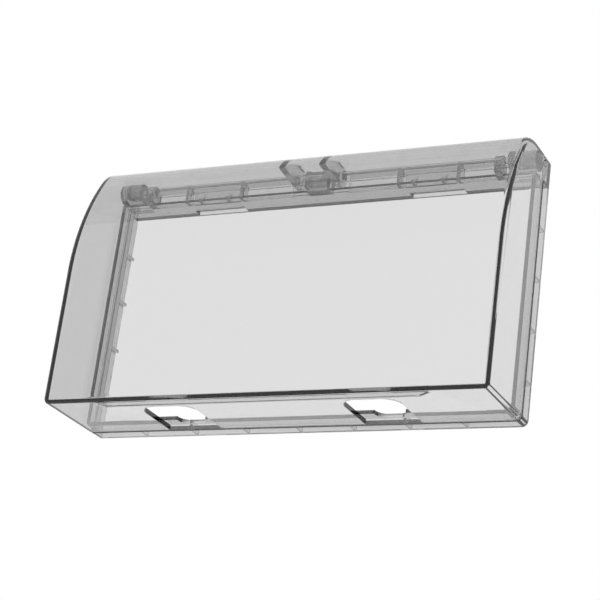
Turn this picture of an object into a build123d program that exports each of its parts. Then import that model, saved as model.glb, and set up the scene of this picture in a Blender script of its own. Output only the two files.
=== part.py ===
from build123d import *
from math import asin, cos, hypot, radians, sin, sqrt
import os

# A clear flip-up splash cover for a double wall socket. Sizes are in millimetres.
# X runs to the right, the wall is the plane Y = 0, the room is on the -Y side and Z is up.
# Heights in this file are measured up from the cover's bottom edge, and distances called
# "out" are measured from the wall into the room. Each finished piece is lowered at the end,
# so that the origin is the middle of the socket opening, on the wall.

# Overall size
cover_width = 190.0
cover_height = 112.0
cover_depth = 45.0

# Lid shell
lid_wall = 2.1
lid_front_upright = 56.5    # height of the front's flat lower part
lid_crown_radius = 15.9
lid_top_flat = 9.2          # level stretch of the top behind the crown
lid_edge_round = 2.2        # outer edges
lid_inner_round = 0.4       # inner edges
lid_seat_gap = 0.3          # between the lid's rear edge and the frame's ledge
lid_side_gap = 0.3          # between the lid's walls and the frame's upstand

# Finger lip under the lid, just behind the rounding of its front edge
lip_length = 145.0
lip_drop = 1.8
lip_flare = 0.4
lip_wall = 1.7
lip_end_sweep = 6.5
lip_root = 1.6              # how far the lip is rooted in the lid's wall

# Cable outlets in the lid's bottom wall, and the grooves above them in the frame
outlet_offset = 43.5
outlet_width = 24.0
outlet_front_out = 36.0
outlet_corner = 7.0
groove_width = 13.0
groove_depth = 5.2
groove_corner = 4.0

# Base frame
skirt_out = 8.5             # wall to the front of the ledge
skirt_wall = 2.2
skirt_corner = 2.5
skirt_edge_round = 1.0      # front outer edge
ledge_wall = 1.8
upstand_wall = 1.6
upstand_out = 14.6
upstand_corner = 1.6        # clears the rounding inside the lid
shelf_step = 0.6            # the shelf is this much thinner in front of the hinge wall
rear_plate_wall = 1.8       # plate against the wall, from the shelf up to the skirt's top
rib_wall = 1.2
rib_pitch_across = 23.5
ribs_each_side = 3
rib_heights = [17.0, 38.4, 59.7, 81.0]

# Adhesive tape
tape_thickness = 1.2
tape_setback = 0.3          # tape edge to the skirt's outer edge

# Hinge line, carried in a lug at each end and in a block at the middle
hinge_out = 13.0
hinge_drop = 6.2            # below the lid's top
swing_gap = 0.3
lip_floor_gap = 0.4         # between the open lid's rear lip and the gutter floor
pin_radius = 1.5
pin_running_gap = 0.05
lug_radius = 2.9
lug_wide = 3.0
boss_length = 9.6           # boss inside each top corner of the lid
end_gap = 3.0               # open gap between a lug and the lid's boss
end_pin_length = 10.0
end_pin_in_lug = 3.0
block_wide = 10.4
block_out = 16.0
block_rise = 2.2            # block top above the hinge line
block_recess_wide = 5.4
block_recess_rise = 4.5
block_recess_depth = 0.8
block_wall = 1.3            # round the hollow that opens below

# Arms of the lid at the middle of the hinge
arm_offset = 9.0
arm_wall = 2.8
arm_end_radius = 4.0
arm_slot_wide = 7.2
arm_front_out = 34.5
arm_front_rise = 1.4        # the arm's lower edge climbs this much to the front
center_pin_proud = 0.4

# Hinge wall on the frame's shelf, with its spring tongues, and the drains in the shelf behind it
hinge_wall = 1.4
hinge_wall_rise = 1.7       # above the hinge line
window_margin = 1.3         # above the windows in the hinge wall
window_side = 0.4           # beside them
window_sill = 0.4
tongue_middle = 48.6
tongue_length = 24.4
tongue_slot = 1.2
cheek_wall = 1.4
cheek_reach = 2.8           # in front of the hinge wall
gusset_spread = 12.8        # between the two gussets of a tongue
gusset_wall = 1.3
gusset_rise = 4.2
gusset_reach = 3.2
gusset_sweep = 0.3          # share of its rise and reach at the middle of its front curve
drain_middle = 49.5
drain_length = 23.5
drain_rear_out = 2.0
drain_front_out = 6.0

# Sizes that follow from the ones above
half_width = cover_width / 2
lip_out = cover_depth - lid_edge_round
lid_rear_out = skirt_out + lid_seat_gap
hinge_height = cover_height - hinge_drop
crown_y = -(lid_rear_out + lid_top_flat)
crown_z = cover_height - lid_crown_radius
crown_back = cover_depth + crown_y
crown_rise = crown_z - lid_front_upright
crown_reach = crown_back**2 + crown_rise**2
lid_front_radius = (crown_reach - lid_crown_radius**2) / (2 * (crown_back - lid_crown_radius))
crown_join = asin(crown_rise / (lid_front_radius - lid_crown_radius))
bulge_y = lid_front_radius - cover_depth
lid_inner_half = half_width - lid_wall
upstand_half = lid_inner_half - lid_side_gap
upstand_bottom = lid_wall + lid_side_gap
opening_half = upstand_half - upstand_wall
opening_bottom = upstand_bottom + upstand_wall
corner_reach = hinge_out - lid_rear_out
shelf_top = hinge_height - corner_reach - lip_floor_gap
opening_top = shelf_top - upstand_wall
opening_middle = (opening_bottom + opening_top) / 2
relief_radius = hypot(corner_reach, hinge_drop) + swing_gap
top_plate_out = hinge_out - sqrt(relief_radius**2 - (hinge_drop - skirt_wall)**2)
rear_plate_out = tape_thickness + rear_plate_wall
crown_behind_hinge = max(0, hinge_out + crown_y)
crown_to_hinge = hypot(crown_behind_hinge, hinge_height - crown_z)
swing_room = lid_crown_radius - lid_wall - crown_to_hinge - swing_gap
wall_rear_out = hinge_out - sqrt(swing_room**2 - hinge_wall_rise**2)
wall_front_out = wall_rear_out + hinge_wall
wall_top = hinge_height + hinge_wall_rise
boss_radius = hinge_height - shelf_top - swing_gap
boss_end = lid_inner_half - boss_length
lug_outer_end = boss_end - end_gap
lug_inner_end = lug_outer_end - lug_wide
tongue_inner = tongue_middle - tongue_length / 2
tongue_outer = tongue_middle + tongue_length / 2
ledge_rear_out = skirt_out - ledge_wall


# A box between two X values, two distances out from the wall and two heights
def block(x_low, x_high, out_low, out_high, z_low, z_high):
    size = Box(x_high - x_low, out_high - out_low, z_high - z_low)
    return Pos((x_low + x_high) / 2, -(out_low + out_high) / 2, (z_low + z_high) / 2) * size


# A shape drawn in the front view, thickened between two distances out from the wall
def front_view(sketch, out_low, out_high):
    return extrude(Plane.XZ.offset(out_low) * sketch, out_high - out_low)


# A shape drawn in the side view (Y across, Z up), thickened between two X values
def side_view(sketch, x_low, x_high):
    return extrude(Plane.YZ.offset(x_low) * sketch, x_high - x_low)


# A round bar along X on the hinge line
def hinge_bar(radius, x_low, x_high):
    return side_view(Pos(-hinge_out, hinge_height) * Circle(radius), x_low, x_high)


def both_sides(piece):
    return piece + mirror(piece, Plane.YZ)


# Side view of the lid, drawn a given wall inside its outer face
def lid_outline(inset, z_low, rear_out):
    bulge_r = lid_front_radius - inset
    crown_r = lid_crown_radius - inset

    def on_bulge(turn):
        return (bulge_y - bulge_r * cos(turn), lid_front_upright + bulge_r * sin(turn))

    def on_crown(turn):
        return (crown_y - crown_r * cos(turn), crown_z + crown_r * sin(turn))

    level = radians(90)
    bulge = ThreePointArc(on_bulge(0), on_bulge(crown_join / 2), on_bulge(crown_join))
    crown = ThreePointArc(on_crown(crown_join), on_crown((crown_join + level) / 2), on_crown(level))
    top = cover_height - inset
    rest = Polyline(crown @ 1, (-rear_out, top), (-rear_out, z_low), (inset - cover_depth, z_low), bulge @ 0)
    return make_face([bulge, crown, *rest.edges()])


# Front view of the finger lip, with an S curve at each end
def lip_outline():
    low = -lip_drop
    end = lip_length / 2
    flat = end - lip_end_sweep
    middle = ((end + flat) / 2, low / 2)
    start = TangentArc((end, 0), middle, tangent=(-1, 0))
    finish = TangentArc(middle, (flat, low), tangent=start % 1)
    rest = Polyline((flat, low), (0, low), (0, lip_root), (end, lip_root), (end, 0))
    half = make_face([start, finish, *rest.edges()])
    return half + mirror(half, Plane.YZ)


def make_finger_lip():
    side = make_face(Polyline(
        (-lip_out, lip_root),
        (-lip_out, 0),
        (-lip_out - lip_flare, -lip_drop),
        (-lip_out - lip_flare + lip_wall, -lip_drop),
        (-lip_out + lip_wall, 0),
        (-lip_out + lip_wall, lip_root),
        (-lip_out, lip_root),
    ).edges())
    bar = side_view(side, -half_width, half_width)
    return bar & front_view(lip_outline(), 0, 2 * cover_depth)


# An arm of the lid: a web under the crown that ends in a round eye on the hinge line
def make_arm():
    low = hinge_height - arm_end_radius
    web = make_face(Polyline(
        (-hinge_out, low),
        (-arm_front_out, low + arm_front_rise),
        (-cover_depth, low + arm_front_rise + arm_end_radius),
        (-cover_depth, cover_height),
        (-hinge_out, cover_height),
        (-hinge_out, low),
    ).edges())
    web = web & lid_outline(lid_wall / 2, 0, lid_rear_out)
    eye = Pos(-hinge_out, hinge_height) * Circle(arm_end_radius)
    arm = side_view(web + eye, arm_offset - arm_wall / 2, arm_offset + arm_wall / 2)
    return both_sides(arm)


# The end edges of a lid-shaped block and its lower front edge, but not its rear edges
def rounded_edges(solid, half, low, front_out):
    def is_rounded(edge):
        middle = edge.center()
        at_end = abs(abs(middle.X) - half) < 0.01 and middle.Y < -lid_rear_out - 0.1
        at_front_foot = abs(middle.Z - low) < 0.01 and abs(middle.Y + front_out) < 0.01
        return at_end or at_front_foot

    return [edge for edge in solid.edges() if is_rounded(edge)]


def make_lid():
    outer = side_view(lid_outline(0, 0, lid_rear_out), -half_width, half_width)
    outer = fillet(rounded_edges(outer, half_width, 0, cover_depth), lid_edge_round)
    hollow = side_view(lid_outline(lid_wall, lid_wall, 0), -lid_inner_half, lid_inner_half)
    hollow = fillet(rounded_edges(hollow, lid_inner_half, lid_wall, cover_depth - lid_wall), lid_inner_round)
    lid = outer - hollow + make_finger_lip() + make_arm()
    boss = hinge_bar(boss_radius, boss_end, lid_inner_half + lid_wall / 2)
    lid = lid + both_sides(boss)
    pin_end = lug_outer_end - end_pin_in_lug + end_pin_length
    lid = lid - both_sides(hinge_bar(pin_radius, boss_end - 1, pin_end))
    lid = lid - hinge_bar(pin_radius, -2 * arm_offset, 2 * arm_offset)
    for side in (-1, 1):
        length = outlet_front_out - lid_rear_out + outlet_corner
        cut = RectangleRounded(outlet_width, 2 * length, outlet_corner)
        notch = Pos(side * outlet_offset, -outlet_front_out + length, -1) * extrude(cut, lid_wall + 2)
        lid = lid - (notch & block(-half_width, half_width, 0, cover_depth, -1, lid_wall + 1))
    return lid


# Skirt against the wall, with the ledge that the lid's rear edge closes on
def make_skirt():
    center = Pos(0, cover_height / 2)
    outside = center * RectangleRounded(cover_width, cover_height, skirt_corner)
    inside = center * RectangleRounded(
        cover_width - 2 * skirt_wall, cover_height - 2 * skirt_wall, skirt_corner - skirt_wall
    )
    rounded = front_view(outside, tape_thickness, skirt_out)
    rounded = fillet(rounded.edges().group_by(Axis.Y)[0], skirt_edge_round)
    skirt = front_view(outside - inside, tape_thickness, skirt_out)
    skirt = skirt - block(-cover_width, cover_width, top_plate_out, 2 * skirt_out,
                          cover_height - 1.5 * skirt_wall, cover_height + 1)
    full_ledge = front_view(outside, ledge_rear_out, skirt_out)
    ledge = full_ledge & block(-cover_width, cover_width, 0, cover_depth, 0, shelf_top)
    full_plate = front_view(outside, tape_thickness, rear_plate_out)
    rear_plate = full_plate & block(-cover_width, cover_width, 0, cover_depth, opening_top, cover_height)
    return (skirt + ledge + rear_plate) & rounded


# Upstand round the opening. Its top side is the shelf that carries the hinge.
def make_upstand():
    ring = block(-upstand_half, upstand_half, ledge_rear_out, upstand_out, upstand_bottom, shelf_top)
    ring = fillet(ring.edges().filter_by(Axis.Y).group_by(Axis.Z)[0], upstand_corner)
    shelf = block(-half_width + skirt_wall, half_width - skirt_wall, tape_thickness, skirt_out,
                  opening_top, shelf_top)
    step = block(-upstand_half, upstand_half, wall_front_out, upstand_out, shelf_top - shelf_step, shelf_top)
    return ring + shelf - step


# Ribs in the skirt behind the ledge, along the bottom and both sides
def make_ribs():
    ribs = []
    front = ledge_rear_out + ledge_wall / 2
    for step in range(-ribs_each_side, ribs_each_side + 1):
        x = step * rib_pitch_across
        ribs.append(block(x - rib_wall / 2, x + rib_wall / 2, tape_thickness, front,
                          skirt_wall / 2, opening_bottom))
    for z in rib_heights:
        for low, high in ((opening_half, half_width - skirt_wall / 2),
                          (-half_width + skirt_wall / 2, -opening_half)):
            ribs.append(block(low, high, tape_thickness, front, z - rib_wall / 2, z + rib_wall / 2))
    return ribs


# Wall on the shelf behind the hinge line, with windows, arm slots and spring tongues
def make_hinge_wall():
    low = shelf_top - upstand_wall / 2
    wall = block(-lug_outer_end, lug_outer_end, wall_rear_out, wall_front_out, low, wall_top)
    cuts = []
    slot_low = arm_offset - arm_slot_wide / 2
    slot_high = arm_offset + arm_slot_wide / 2
    windows = ((slot_high, tongue_inner - cheek_wall), (tongue_outer + cheek_wall, lug_inner_end))
    for x_low, x_high in windows:
        cuts.append(block(x_low + window_side, x_high - window_side, wall_rear_out - 1,
                          wall_front_out + 1, shelf_top + window_sill, wall_top - window_margin))
    for x in (tongue_inner, tongue_outer - tongue_slot):
        cuts.append(block(x, x + tongue_slot, wall_rear_out - 1, wall_front_out + 1,
                          shelf_top, wall_top - window_margin))
    cuts.append(block(slot_low, slot_high, wall_rear_out - 1, wall_front_out + 1,
                      shelf_top, wall_top + 1))
    for cut in cuts:
        wall = wall - both_sides(cut)
    return wall


# Cheeks at the ends of one spring tongue and the gussets that stiffen it, on the +X side
def make_tongue_fittings():
    back = wall_front_out - hinge_wall / 2
    low = shelf_top - upstand_wall / 2
    fittings = []
    for x in (tongue_inner - cheek_wall, tongue_outer):
        fittings.append(block(x, x + cheek_wall, back, wall_front_out + cheek_reach, low, wall_top))
    corner = (-back, low)
    upper = (-back, shelf_top + gusset_rise)
    upper_front = (-wall_front_out, shelf_top + gusset_rise)
    toe = (-wall_front_out - gusset_reach, shelf_top)
    toe_foot = (-wall_front_out - gusset_reach, low)
    sag = (-wall_front_out - gusset_sweep * gusset_reach, shelf_top + gusset_sweep * gusset_rise)
    sweep = ThreePointArc(upper_front, sag, toe)
    rest = Polyline(toe, toe_foot, corner, upper, upper_front)
    outline = make_face([sweep, *rest.edges()])
    for x in (tongue_middle - gusset_spread / 2, tongue_middle + gusset_spread / 2):
        fittings.append(side_view(outline, x - gusset_wall / 2, x + gusset_wall / 2))
    return fittings


# Hinge block at the middle, with a U-shaped recess in its front
def make_hinge_block():
    low = shelf_top - upstand_wall / 2
    top = hinge_height + block_rise
    body = block(-block_wide / 2, block_wide / 2, wall_front_out - hinge_wall / 2, upstand_out, low, top)
    nose = block(-block_wide / 2, block_wide / 2, upstand_out - 1, block_out, shelf_top, top)
    recess_corner = block_recess_wide / 2 - 0.1
    recess = Pos(0, top) * RectangleRounded(block_recess_wide, 2 * block_recess_rise, recess_corner)
    return body + nose - front_view(recess, block_out - block_recess_depth, block_out + 1)


# Bearing lug at one end of the hinge wall, on the +X side
def make_lug():
    foot = block(lug_inner_end, lug_outer_end, wall_front_out - hinge_wall / 2, hinge_out + lug_radius,
                 shelf_top - upstand_wall / 2, hinge_height)
    foot = foot - block(lug_inner_end, lug_outer_end, upstand_out, cover_depth, 0, shelf_top)
    return foot + hinge_bar(lug_radius, lug_inner_end, lug_outer_end)


def make_frame():
    frame = make_skirt() + make_upstand()
    frame = frame + make_ribs()
    frame = frame + make_hinge_wall() + make_hinge_block()
    for fitting in make_tongue_fittings() + [make_lug()]:
        frame = frame + both_sides(fitting)
    frame = frame - block(-opening_half, opening_half, 0, cover_depth, opening_bottom, opening_top)
    frame = frame - both_sides(hinge_bar(relief_radius, lug_outer_end, half_width + 1) &
                               block(lug_outer_end, half_width + 1, 0, skirt_out + 1, 0, 2 * cover_height))
    frame = frame - both_sides(hinge_bar(pin_radius + pin_running_gap, lug_inner_end - 1, lug_outer_end + 1))
    frame = frame - hinge_bar(pin_radius + pin_running_gap, -block_wide, block_wide)
    drain = block(drain_middle - drain_length / 2, drain_middle + drain_length / 2,
                  drain_rear_out, drain_front_out, opening_top - 1, shelf_top)
    frame = frame - both_sides(drain)
    frame = frame - block(-block_wide / 2 + block_wall, block_wide / 2 - block_wall, wall_front_out,
                          hinge_out, opening_top - 1, hinge_height + block_rise - block_wall)
    for side in (-1, 1):
        cut = RectangleRounded(groove_width, 2 * groove_depth, groove_corner)
        groove = Pos(side * outlet_offset, -upstand_out, 0) * extrude(cut, opening_bottom + 1)
        frame = frame - groove
    return frame


# Strips on the rear face of the skirt, which stop short of its rounded corners
def make_tapes():
    across = half_width - skirt_corner
    edge = half_width - tape_setback
    inner = half_width - skirt_wall
    top = cover_height - tape_setback
    low = skirt_corner
    high = cover_height - skirt_corner
    return {
        "tape_bottom": block(-across, across, 0, tape_thickness, tape_setback, skirt_wall),
        "tape_top": block(-across, across, 0, tape_thickness, cover_height - skirt_wall, top),
        "tape_right": block(inner, edge, 0, tape_thickness, low, high),
        "tape_left": block(-edge, -inner, 0, tape_thickness, low, high),
    }


def make_pins():
    inner_end = lug_outer_end - end_pin_in_lug
    right = hinge_bar(pin_radius, inner_end, inner_end + end_pin_length)
    reach = arm_offset + arm_wall / 2 + center_pin_proud
    return {
        "hinge_pin_right": right,
        "hinge_pin_left": mirror(right, Plane.YZ),
        "hinge_pin_center": hinge_bar(pin_radius, -reach, reach),
    }


pieces = {"lid_shell": make_lid(), "base_frame": make_frame(), **make_tapes(), **make_pins()}

os.makedirs("parts", exist_ok=True)
for name, piece in pieces.items():
    export_step(Pos(0, 0, -opening_middle) * piece, f"parts/{name}.step")
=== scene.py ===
import math

import bmesh
import bpy
from mathutils import Matrix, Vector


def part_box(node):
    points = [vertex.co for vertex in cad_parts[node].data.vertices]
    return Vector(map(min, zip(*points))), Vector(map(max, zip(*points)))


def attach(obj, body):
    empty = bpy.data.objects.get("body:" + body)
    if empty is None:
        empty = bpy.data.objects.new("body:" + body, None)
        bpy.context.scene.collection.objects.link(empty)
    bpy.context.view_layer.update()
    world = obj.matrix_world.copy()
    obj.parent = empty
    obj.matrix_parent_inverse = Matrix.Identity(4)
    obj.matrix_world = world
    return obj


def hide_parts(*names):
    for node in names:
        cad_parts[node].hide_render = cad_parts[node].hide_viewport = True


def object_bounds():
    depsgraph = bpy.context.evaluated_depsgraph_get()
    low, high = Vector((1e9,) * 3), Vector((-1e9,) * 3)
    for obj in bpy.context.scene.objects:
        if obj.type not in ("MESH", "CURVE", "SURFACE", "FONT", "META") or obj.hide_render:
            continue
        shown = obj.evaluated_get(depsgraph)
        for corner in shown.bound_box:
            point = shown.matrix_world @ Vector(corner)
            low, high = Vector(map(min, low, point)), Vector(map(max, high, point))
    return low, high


# Clear, smoke-tinted splash cover for a double wall socket. Metres, the wall is Y = 0, Z is up.
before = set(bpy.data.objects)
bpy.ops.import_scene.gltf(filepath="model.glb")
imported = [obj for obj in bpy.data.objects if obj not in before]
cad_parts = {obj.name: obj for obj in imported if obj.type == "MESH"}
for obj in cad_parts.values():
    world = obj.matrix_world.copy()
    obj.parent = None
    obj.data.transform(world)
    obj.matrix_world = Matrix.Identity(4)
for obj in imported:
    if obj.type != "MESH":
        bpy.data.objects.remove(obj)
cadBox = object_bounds()
print("frame loaded,", len(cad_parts), "nodes")


# Camera, set where the cover's straight edges line up with the photograph
camera = {
    "place": (0.34941, -0.67337, -0.29431),
    "turnDegrees": (111.698, -7.1537, 25.1992),
    "lensMm": 120.0,
    "sensorMm": 36.0,
}


def addObject(name, data):
    obj = bpy.data.objects.new(name, data)
    bpy.context.scene.collection.objects.link(obj)
    return obj


def makeCamera():
    data = bpy.data.cameras.new("camera")
    data.lens = camera["lensMm"]
    data.sensor_width = camera["sensorMm"]
    obj = addObject("camera", data)
    obj.location = camera["place"]
    obj.rotation_euler = [math.radians(angle) for angle in camera["turnDegrees"]]
    bpy.context.scene.camera = obj
    print("camera made")


def newNode(tree, kind, **settings):
    node = tree.nodes.new(kind)
    for key, value in settings.items():
        setattr(node, key, value)
    return node


def seenDirectly(tree):    # 1 for camera, glossy and transmission rays, else 0
    path = newNode(tree, "ShaderNodeLightPath")
    either = newNode(tree, "ShaderNodeMath", operation="MAXIMUM")
    tree.links.new(path.outputs["Is Camera Ray"], either.inputs[0])
    tree.links.new(path.outputs["Is Glossy Ray"], either.inputs[1])
    anyOf = newNode(tree, "ShaderNodeMath", operation="MAXIMUM")
    tree.links.new(either.outputs[0], anyOf.inputs[0])
    tree.links.new(path.outputs["Is Transmission Ray"], anyOf.inputs[1])
    return anyOf.outputs[0]


# Studio: white all round, a pale floor below the cover, and soft lamps
studio = {
    "worldLight": 0.9,
    "floorBelow": 0.6,
    "floorSize": 30.0,
    "floorColour": (0.86, 0.86, 0.86, 1),
    "floorRoughness": 0.8,
    "lamps": {
        "keyLamp": {"place": (-0.9, -1.1, 0.9), "size": 0.7, "watts": 9.0},
        "fillLamp": {"place": (1.2, -0.6, 0.5), "size": 0.8, "watts": 5.0},
        "rearLamp": {"place": (0.3, 1.2, 0.8), "size": 0.8, "watts": 5.0},
    },
}


def makeWorld():
    world = bpy.data.worlds.new("studio")
    bpy.context.scene.world = world
    world.use_nodes = True
    tree = world.node_tree
    tree.nodes.clear()
    light = newNode(tree, "ShaderNodeBackground")
    light.inputs["Strength"].default_value = studio["worldLight"]
    white = newNode(tree, "ShaderNodeBackground")
    for node in (light, white):
        node.inputs["Color"].default_value = (1, 1, 1, 1)
    mix = newNode(tree, "ShaderNodeMixShader")
    tree.links.new(seenDirectly(tree), mix.inputs[0])
    tree.links.new(light.outputs[0], mix.inputs[1])
    tree.links.new(white.outputs[0], mix.inputs[2])
    out = newNode(tree, "ShaderNodeOutputWorld")
    tree.links.new(mix.outputs[0], out.inputs["Surface"])
    print("world made")


def makeLamps():
    for name, values in studio["lamps"].items():
        data = bpy.data.lights.new(name, "AREA")
        data.energy = values["watts"]
        data.size = values["size"]
        lamp = addObject(name, data)
        lamp.location = values["place"]
        aim = -lamp.location.normalized()
        lamp.rotation_euler = aim.to_track_quat("-Z", "Y").to_euler()
        lamp.visible_camera = False    # the lamps light the cover but don't show in it
        lamp.visible_glossy = False
        lamp.visible_transmission = False
    print("lamps made")


def makeFloor():    # pale, with the cover's shadow; seen through the clear plastic it is white
    bm = bmesh.new()
    bmesh.ops.create_grid(bm, x_segments=1, y_segments=1, size=studio["floorSize"] / 2)
    bmesh.ops.translate(bm, verts=bm.verts, vec=(0, 0, cadBox[0][2] - studio["floorBelow"]))
    mesh = bpy.data.meshes.new("floor")
    bm.to_mesh(mesh)
    bm.free()
    material = bpy.data.materials.new("floorPaint")
    material.use_nodes = True
    tree = material.node_tree
    paint = tree.nodes["Principled BSDF"]
    paint.inputs["Base Color"].default_value = studio["floorColour"]
    paint.inputs["Roughness"].default_value = studio["floorRoughness"]
    white = newNode(tree, "ShaderNodeEmission")
    mix = newNode(tree, "ShaderNodeMixShader")
    path = newNode(tree, "ShaderNodeLightPath")
    through = newNode(tree, "ShaderNodeMath", operation="MAXIMUM")
    tree.links.new(path.outputs["Is Glossy Ray"], through.inputs[0])
    tree.links.new(path.outputs["Is Transmission Ray"], through.inputs[1])
    tree.links.new(through.outputs[0], mix.inputs[0])
    tree.links.new(paint.outputs[0], mix.inputs[1])
    tree.links.new(white.outputs[0], mix.inputs[2])
    tree.links.new(mix.outputs[0], tree.nodes["Material Output"].inputs["Surface"])
    mesh.materials.append(material)
    addObject("floor", mesh)
    print("floor made")


# Finishes. The smoke tint is in the volume, so thicker walls and edges come out darker.
plastics = {
    "lidPlastic": {"tintPerMetre": 136, "roughness": (0.0, 0.02), "wave": 0.03, "waveScale": 45},
    "framePlastic": {"tintPerMetre": 205, "roughness": (0.0, 0.04), "wave": 0.05, "waveScale": 60},
    "pinPlastic": {"tintPerMetre": 60, "roughness": (0.02, 0.06), "wave": 0.04, "waveScale": 90},
    "tapeGel": {"tintPerMetre": 60, "roughness": (0.08, 0.2), "wave": 0.15, "waveScale": 250},
}
plasticSurface = {
    "ior": 1.5,
    "smudgeScale": 60,
    "smudgeDetail": 4,
    "smudgeFrom": (0.4, 0.75),
    "waveDetail": 1,
    "waveDepth": 0.001,
}


def makePlastic(name):
    values = plastics[name]
    material = bpy.data.materials.new(name)
    material.use_nodes = True
    tree = material.node_tree
    shader = tree.nodes["Principled BSDF"]
    shader.inputs["Base Color"].default_value = (1, 1, 1, 1)
    shader.inputs["Transmission Weight"].default_value = 1.0
    shader.inputs["IOR"].default_value = plasticSurface["ior"]
    place = newNode(tree, "ShaderNodeTexCoord")
    smudge = newNode(tree, "ShaderNodeTexNoise")    # handling marks, as patches of less gloss
    smudge.inputs["Scale"].default_value = plasticSurface["smudgeScale"]
    smudge.inputs["Detail"].default_value = plasticSurface["smudgeDetail"]
    tree.links.new(place.outputs["Object"], smudge.inputs["Vector"])
    spread = newNode(tree, "ShaderNodeMapRange")
    spread.inputs["From Min"].default_value = plasticSurface["smudgeFrom"][0]
    spread.inputs["From Max"].default_value = plasticSurface["smudgeFrom"][1]
    spread.inputs["To Min"].default_value = values["roughness"][0]
    spread.inputs["To Max"].default_value = values["roughness"][1]
    tree.links.new(smudge.outputs["Fac"], spread.inputs["Value"])
    tree.links.new(spread.outputs["Result"], shader.inputs["Roughness"])
    flow = newNode(tree, "ShaderNodeTexNoise")    # slow waves of the moulded face
    flow.inputs["Scale"].default_value = values["waveScale"]
    flow.inputs["Detail"].default_value = plasticSurface["waveDetail"]
    tree.links.new(place.outputs["Object"], flow.inputs["Vector"])
    bump = newNode(tree, "ShaderNodeBump")
    bump.inputs["Strength"].default_value = values["wave"]
    bump.inputs["Distance"].default_value = plasticSurface["waveDepth"]
    tree.links.new(flow.outputs["Fac"], bump.inputs["Height"])
    tree.links.new(bump.outputs["Normal"], shader.inputs["Normal"])
    absorb = newNode(tree, "ShaderNodeVolumeAbsorption")
    absorb.inputs["Color"].default_value = (0, 0, 0, 1)
    absorb.inputs["Density"].default_value = values["tintPerMetre"]
    tree.links.new(absorb.outputs[0], tree.nodes["Material Output"].inputs["Volume"])
    return material


def makePiece(values, mesh, node, material):    # a finished piece that stands for a node
    mesh.materials.clear()
    mesh.materials.append(material)
    piece = addObject(values["piece"], mesh)
    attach(piece, values["body"])
    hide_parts(node)


# Lid and frame: each is a merged copy of its node with the small edge roundings of a moulding.
# A rim gets a wider rounding. Its edges lie at one place along one axis, 1 for Y or 2 for Z.
mouldings = {
    "lid_shell": {"piece": "lidShell", "body": "lid", "slot": "smoke_lid",
                  "plastic": "lidPlastic", "edge": 0.00022,
                  "rims": {"rear": {"axis": 1, "place": -0.0088},
                           "lip": {"axis": 2, "place": -0.0536}}},
    "base_frame": {"piece": "baseFrame", "body": "frame", "slot": "smoke_frame",
                   "plastic": "framePlastic", "edge": 0.00022,
                   "rims": {"upstand": {"axis": 1, "place": -0.0146}}},
}
mouldEdges = {"mergeDistance": 2e-6, "flatDegrees": 1.0, "sharpDegrees": 28.0, "segments": 2,
              "rimReach": 0.0001, "rimWidth": 0.00045, "rimSegments": 4}


def onRim(edge, rim):
    offsets = [abs(vert.co[rim["axis"]] - rim["place"]) for vert in edge.verts]
    return max(offsets) < mouldEdges["rimReach"]


def roundRims(bm, rims):    # the sharp edges of each rim, rounded with strips that are shaded flat
    sharpAngle = math.radians(mouldEdges["sharpDegrees"])
    for name, rim in rims.items():
        edges = [edge for edge in bm.edges
                 if edge.calc_face_angle(0) > sharpAngle and onRim(edge, rim)]
        rounded = bmesh.ops.bevel(bm, geom=edges, offset=mouldEdges["rimWidth"], affect="EDGES",
                                  segments=mouldEdges["rimSegments"], profile=0.5, material=-1,
                                  clamp_overlap=False)
        for face in rounded["faces"]:
            face.smooth = False
        print(name, "rim,", len(edges), "edges rounded")


def mergedCopy(node):
    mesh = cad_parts[node].data.copy()
    bm = bmesh.new()
    bm.from_mesh(mesh)
    bmesh.ops.remove_doubles(bm, verts=bm.verts, dist=mouldEdges["mergeDistance"])
    bmesh.ops.dissolve_limit(bm, angle_limit=math.radians(mouldEdges["flatDegrees"]),
                             verts=bm.verts, edges=bm.edges)
    for face in bm.faces:
        face.smooth = True
    roundRims(bm, mouldings[node]["rims"])
    bm.to_mesh(mesh)
    bm.free()
    for name in ("sharp_edge", "custom_normal"):    # the roundings set the shading anew
        if name in mesh.attributes:
            mesh.attributes.remove(mesh.attributes[name])
    return mesh


def makeMoulding(node, material):
    values = mouldings[node]
    mesh = mergedCopy(node)
    draft = addObject("draft", mesh)
    edges = draft.modifiers.new("edges", "BEVEL")
    edges.width = values["edge"]
    edges.segments = mouldEdges["segments"]
    edges.limit_method = "ANGLE"
    edges.angle_limit = math.radians(mouldEdges["sharpDegrees"])
    edges.harden_normals = True
    edges.use_clamp_overlap = True
    bpy.context.view_layer.update()
    view = bpy.context.evaluated_depsgraph_get()
    finished = bpy.data.meshes.new_from_object(
        draft.evaluated_get(view), preserve_all_data_layers=True, depsgraph=view)
    finished.name = values["piece"]
    bpy.data.objects.remove(draft)
    makePiece(values, finished, node, material)
    print(values["piece"], len(finished.polygons), "faces")


# Hinge pins: round bars with chamfered ends, a hair thinner than their bores
pins = {
    "inset": 0.00004,
    "chamfer": 0.0003,
    "chamferSteps": 2,
    "sides": 48,
    "sharpDegrees": 30,
    "nodes": {"hinge_pin_left": "pinLeft", "hinge_pin_right": "pinRight",
              "hinge_pin_center": "pinCenter"},
}


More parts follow.
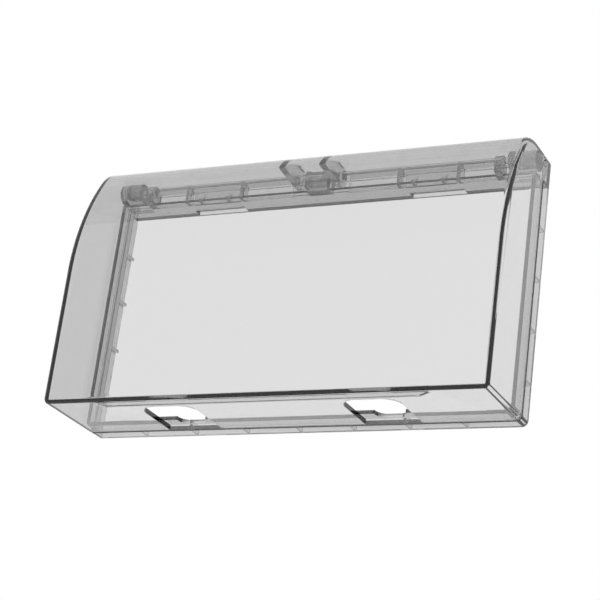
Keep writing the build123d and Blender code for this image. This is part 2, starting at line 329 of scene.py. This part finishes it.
def makePin(node, material):
    low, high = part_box(node)
    radius = (high[2] - low[2]) / 2 - pins["inset"]
    length = high[0] - low[0]
    middle = [(a + b) / 2 for a, b in zip(low, high)]
    bm = bmesh.new()
    bmesh.ops.create_cone(bm, cap_ends=True, segments=pins["sides"], radius1=radius, radius2=radius,
                          depth=length - 2 * pins["inset"])
    rims = [edge for edge in bm.edges if len({vert.co.z > 0 for vert in edge.verts}) == 1]
    bmesh.ops.bevel(bm, geom=rims, offset=pins["chamfer"], affect="EDGES",
                    segments=pins["chamferSteps"], profile=0.5, material=-1)
    bmesh.ops.rotate(bm, verts=bm.verts, matrix=Matrix.Rotation(math.radians(90), 3, "Y"))
    bmesh.ops.translate(bm, verts=bm.verts, vec=middle)
    mesh = bpy.data.meshes.new(pins["nodes"][node])
    bm.to_mesh(mesh)
    bm.free()
    mesh.shade_smooth()
    mesh.set_sharp_from_angle(angle=math.radians(pins["sharpDegrees"]))
    values = {"piece": pins["nodes"][node], "body": "lid", "slot": "clear_pin"}
    makePiece(values, mesh, node, material)


# Adhesive strips: flat gel with soft edges, a hair behind the frame's rear face
tapes = {
    "inset": 0.00006,
    "edge": 0.0003,
    "edgeSteps": 3,
    "nodes": {"tape_bottom": "tapeBottom", "tape_top": "tapeTop",
              "tape_left": "tapeLeft", "tape_right": "tapeRight"},
}


def makeTape(node, material):
    low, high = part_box(node)
    size = [b - a for a, b in zip(low, high)]
    bm = bmesh.new()
    bmesh.ops.create_cube(bm, size=1)
    bmesh.ops.scale(bm, verts=bm.verts, vec=[side - 2 * tapes["inset"] for side in size])
    bmesh.ops.bevel(bm, geom=bm.edges, offset=tapes["edge"], affect="EDGES",
                    segments=tapes["edgeSteps"], profile=0.5, material=-1)
    bmesh.ops.translate(bm, verts=bm.verts, vec=[(a + b) / 2 for a, b in zip(low, high)])
    mesh = bpy.data.meshes.new(tapes["nodes"][node])
    bm.to_mesh(mesh)
    bm.free()
    values = {"piece": tapes["nodes"][node], "body": "frame", "slot": "clear_tape"}
    makePiece(values, mesh, node, material)


makeCamera()
makeWorld()
makeLamps()
makeFloor()
finishes = {name: makePlastic(name) for name in plastics}
print("finishes made")
for node in mouldings:
    makeMoulding(node, finishes[mouldings[node]["plastic"]])
for node in pins["nodes"]:
    makePin(node, finishes["pinPlastic"])
print("pins made")
for node in tapes["nodes"]:
    makeTape(node, finishes["tapeGel"])
print("tapes made")

bpy.context.scene.view_settings.view_transform = "Standard"
